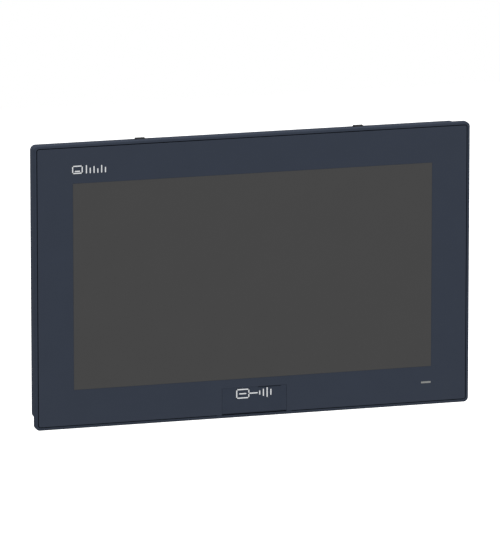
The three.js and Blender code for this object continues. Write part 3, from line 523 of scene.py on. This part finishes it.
def connectors():
    for i in (1, 2):
        low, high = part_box(f"ethernet_port_{i}")
        middle = (low.x + high.x) / 2
        bm = bmesh.new()
        contact_span = (low.z + 2.6 * MM, low.z + 11 * MM)
        contact_row(bm, evenly(middle, 1.02 * MM, 8), high.y - 2.4 * MM - 7.2 * MM, contact_span)
        add_piece(f"network_contacts_{i}", bm, gold, "housing")
        for side, material in ((-1, green_lens), (1, amber_lens)):
            bm = bmesh.new()
            x = middle + side * 5.3 * MM
            add_block(bm, (x - 1.3 * MM, high.y - 3.1 * MM, low.z - 0.15 * MM),
                      (x + 1.3 * MM, high.y - 1.2 * MM, low.z + 0.3 * MM), 0.2 * MM)
            name = "left" if side < 0 else "right"
            add_piece(f"network_light_{i}_{name}", bm, material, "housing")
    low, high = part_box("usb_port_pair")
    middle = (low.x + high.x) / 2
    for row, base in enumerate((1.4 * MM, 9.2 * MM)):
        bm = bmesh.new()
        y = low.y + base + 3.6 * MM
        add_block(bm, (middle - TONGUE_HALF, y - 0.8 * MM, low.z + 1.2 * MM),
                  (middle + TONGUE_HALF, y + 0.8 * MM, low.z + 10.2 * MM), 0.25 * MM)
        add_piece(f"usb_tongue_{row + 1}", bm, blue_plastic, "housing")
        bm = bmesh.new()
        contact_span = (low.z + 1.7 * MM, low.z + 9 * MM)
        contact_row(bm, evenly(middle, USB_PITCH, 4), y - 0.85 * MM, contact_span, 0.5 * MM, 0.12 * MM)
        add_piece(f"usb_contacts_{row + 1}", bm, gold, "housing")
    low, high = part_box("front_usb_socket")
    middle, level = (low.x + high.x) / 2, (low.z + high.z) / 2
    bm = bmesh.new()
    add_block(bm, (middle - TONGUE_HALF, low.y + 0.9 * MM, level + 0.2 * MM),
              (middle + TONGUE_HALF, low.y + 12.1 * MM, level + 1.8 * MM), 0.25 * MM)
    add_piece("front_usb_tongue", bm, blue_plastic, "housing")
    bm = bmesh.new()
    for x in evenly(middle, USB_PITCH, 4):
        add_block(bm, (x - 0.5 * MM, low.y + 1.4 * MM, level + 0.1 * MM),
                  (x + 0.5 * MM, low.y + 9 * MM, level + 0.3 * MM), 0.05 * MM)
    add_piece("front_usb_contacts", bm, gold, "housing")
    low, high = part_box("power_inlet")
    bm = bmesh.new()
    for x in evenly((low.x + high.x) / 2, 5.08 * MM, 3):
        add_block(bm, (x - 0.5 * MM, (low.y + high.y) / 2 - 0.5 * MM, low.z + 2 * MM),
                  (x + 0.5 * MM, (low.y + high.y) / 2 + 0.5 * MM, low.z + 9.4 * MM), 0.15 * MM)
    add_piece("power_pins", bm, steel, "housing")


def type_plate_detail():
    """Ruled blank fields and four drive rivets on the type plate."""
    low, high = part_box("type_plate")
    back = high.y
    bm = bmesh.new()
    margin, rivet_inset = 3.2 * MM, 1.5 * MM
    root, top = back - 0.02 * MM, back + FIELD_INK
    left, right = low.x + margin, high.x - margin
    rule, frame_rule = 0.12 * MM, 0.15 * MM
    for row in range(5):
        z = high.z - margin - (6 + 9.4 * row) * MM
        add_block(bm, (left, root, z - rule), (right, top, z + rule))
    for x in (left, right):
        add_block(bm, (x - frame_rule, root, low.z + margin), (x + frame_rule, top, high.z - margin))
    for z in (low.z + margin, high.z - margin):
        add_block(bm, (left, root, z - frame_rule), (right, top, z + frame_rule))
    add_piece("type_plate_fields", bm, black_plastic, "housing")
    bm = bmesh.new()
    dome = [(back + 0.6 * MM * math.sin(a), 1.1 * MM * math.cos(a)) for a in (0.0, 0.3, 0.6, 0.9, 1.2, 1.5)]
    shank = [(back - 0.3 * MM, 0.8 * MM), (back - 0.01 * MM, 0.8 * MM)]
    for x in (low.x + rivet_inset, high.x - rivet_inset):
        for z in (low.z + rivet_inset, high.z - rivet_inset):
            turned(bm, (x, z), shank + dome)
    add_piece("type_plate_rivets", bm, steel, "housing")


def board_parts():
    """Chips and capacitors on the mainboard, seen through the vents and the ports."""
    face = 34.05 * MM
    draw = random.Random(7)
    chips, cans = bmesh.new(), bmesh.new()
    for column in range(8):
        for row in range(3):
            x = (-120 + 33 * column + draw.uniform(-4, 4)) * MM
            z = (56 - 9 * row - draw.uniform(0, 2)) * MM
            if abs(x) < 44 * MM and z < 50 * MM or x > 80 * MM and z < 48 * MM:
                continue
            if draw.random() < 0.6:
                w, h = draw.uniform(3, 8) * MM, draw.uniform(2, 3.6) * MM
                add_block(chips, (x - w, face, z - h), (x + w, face + 1.4 * MM, z + h), 0.2 * MM)
            else:
                r, t = draw.uniform(2, 3.6) * MM, draw.uniform(5, 9) * MM
                side = [(face, 0.9 * r), (face + 0.3 * MM, r), (face + 0.8 * t, r), (face + t, r * 0.96)]
                turned(cans, (x, z), side + [(face + t, 0.8 * r), (face + t - 0.2 * MM, 0.7 * r)])
    add_piece("board_chips", chips, black_plastic, "housing")
    add_piece("board_capacitors", cans, aluminium, "housing")


def finned_sink():
    """The heat spreader as an extruded block with fins that stop short of the cover."""
    low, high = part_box("heat_spreader")
    bm = bmesh.new()
    base = low.y + 4 * MM
    add_block(bm, low, (high.x, base, high.z), 0.3 * MM)
    count, thick = 14, 1.4 * MM
    for x in evenly((low.x + high.x) / 2, (high.x - low.x - thick) / (count - 1), count):
        add_block(bm, (x - thick / 2, base - 0.2 * MM, low.z), (x + thick / 2, high.y, high.z), 0.25 * MM)
    add_piece("finned_heat_sink", bm, aluminium, "housing", ["heat_spreader"])


# ------------------------------------------------------------------ camera, light and floor

CAMERA_AZIMUTH = math.radians(-16.324)
CAMERA_ELEVATION = math.radians(12.505)
CAMERA_DISTANCE = 6.6438
CAMERA_AIM = Vector((-0.0017, 0.0, -0.0005))
CAMERA_LENS = 471.2


def make_camera():
    data = bpy.data.cameras.new("camera")
    data.lens = CAMERA_LENS
    data.sensor_width = 36
    data.clip_end = 60
    camera = bpy.data.objects.new("camera", data)
    bpy.context.scene.collection.objects.link(camera)
    flat = math.cos(CAMERA_ELEVATION)
    sideways, forwards = math.sin(CAMERA_AZIMUTH) * flat, -math.cos(CAMERA_AZIMUTH) * flat
    back = Vector((sideways, forwards, math.sin(CAMERA_ELEVATION)))
    camera.location = CAMERA_AIM + back * CAMERA_DISTANCE
    camera.rotation_mode = "QUATERNION"
    camera.rotation_quaternion = (-back).to_track_quat("-Z", "Y")
    bpy.context.scene.camera = camera


def make_area(name, location, size, power, aim=(0, 0, 0), glossy=True):
    data = bpy.data.lights.new(name, "AREA")
    data.size = size
    data.energy = power
    lamp = bpy.data.objects.new(name, data)
    bpy.context.scene.collection.objects.link(lamp)
    lamp.location = location
    lamp.visible_glossy = glossy
    lamp.rotation_mode = "QUATERNION"
    lamp.rotation_quaternion = (Vector(aim) - Vector(location)).to_track_quat("-Z", "Y")


def make_floor():
    """A pale floor that the camera sees as clean white and that doesn't mirror into the panel."""
    mesh = bpy.data.meshes.new("floor")
    half, depth = 40.0, -8.0
    corners = [(-half, -half, depth), (half, -half, depth), (half, half, depth), (-half, half, depth)]
    mesh.from_pydata(corners, [], [(0, 1, 2, 3)])
    floor = bpy.data.objects.new("floor", mesh)
    bpy.context.scene.collection.objects.link(floor)
    pale = surface("floor", (0.93, 0.93, 0.93, 1.0), 0.9, specular=0.0, mottle=0.004, mottle_scale=3)
    shader = pale.node_tree.nodes["Principled BSDF"]
    shader.inputs["Emission Color"].default_value = (1, 1, 1, 1)
    shader.inputs["Emission Strength"].default_value = 0.6
    mesh.materials.append(pale)
    floor.visible_glossy = False
    floor.visible_diffuse = False


def make_world():
    """White for the camera; as light, bright above, dimmer below the horizon and dim behind the panel."""
    world = bpy.data.worlds.new("studio")
    world.use_nodes = True
    tree = world.node_tree
    background = tree.nodes["Background"]
    place = tree.nodes.new("ShaderNodeTexCoord")
    split = tree.nodes.new("ShaderNodeSeparateXYZ")
    tree.links.new(place.outputs["Generated"], split.inputs[0])

    def ramp(axis, start, end, low, high):
        node = tree.nodes.new("ShaderNodeMapRange")
        for key, value in (("From Min", start), ("From Max", end), ("To Min", low), ("To Max", high)):
            node.inputs[key].default_value = value
        tree.links.new(split.outputs[axis], node.inputs["Value"])
        return node.outputs["Result"]

    light = tree.nodes.new("ShaderNodeMath")
    light.operation = "MULTIPLY"
    tree.links.new(ramp("Z", -0.5, 1.0, 0.5, 1.2), light.inputs[0])
    tree.links.new(ramp("Y", 0.3, 0.9, 1.0, 0.22), light.inputs[1])
    path = tree.nodes.new("ShaderNodeLightPath")
    mix = tree.nodes.new("ShaderNodeMix")
    mix.data_type = "FLOAT"
    mix.inputs["B"].default_value = 1.0
    tree.links.new(path.outputs["Is Camera Ray"], mix.inputs["Factor"])
    tree.links.new(light.outputs[0], mix.inputs["A"])
    tree.links.new(mix.outputs["Result"], background.inputs["Strength"])
    background.inputs["Color"].default_value = (1, 1, 1, 1)
    bpy.context.scene.world = world


def make_studio():
    make_floor()
    make_world()
    make_area("key", (1.6, -2.6, 2.6), 2.4, 40)
    make_area("back_fill", (-1.4, 2.8, 2.2), 2.6, 90, glossy=False)
    make_area("low_fill", (0.6, 2.4, -2.4), 2.6, 90, glossy=False)
    view = bpy.context.scene.view_settings
    view.view_transform = "Standard"
    view.look = "None"


make_camera()
dress_frame()
printed_marks()
fasteners()
gasket()
claw_teeth()
connectors()
type_plate_detail()
board_parts()
finned_sink()
make_studio()
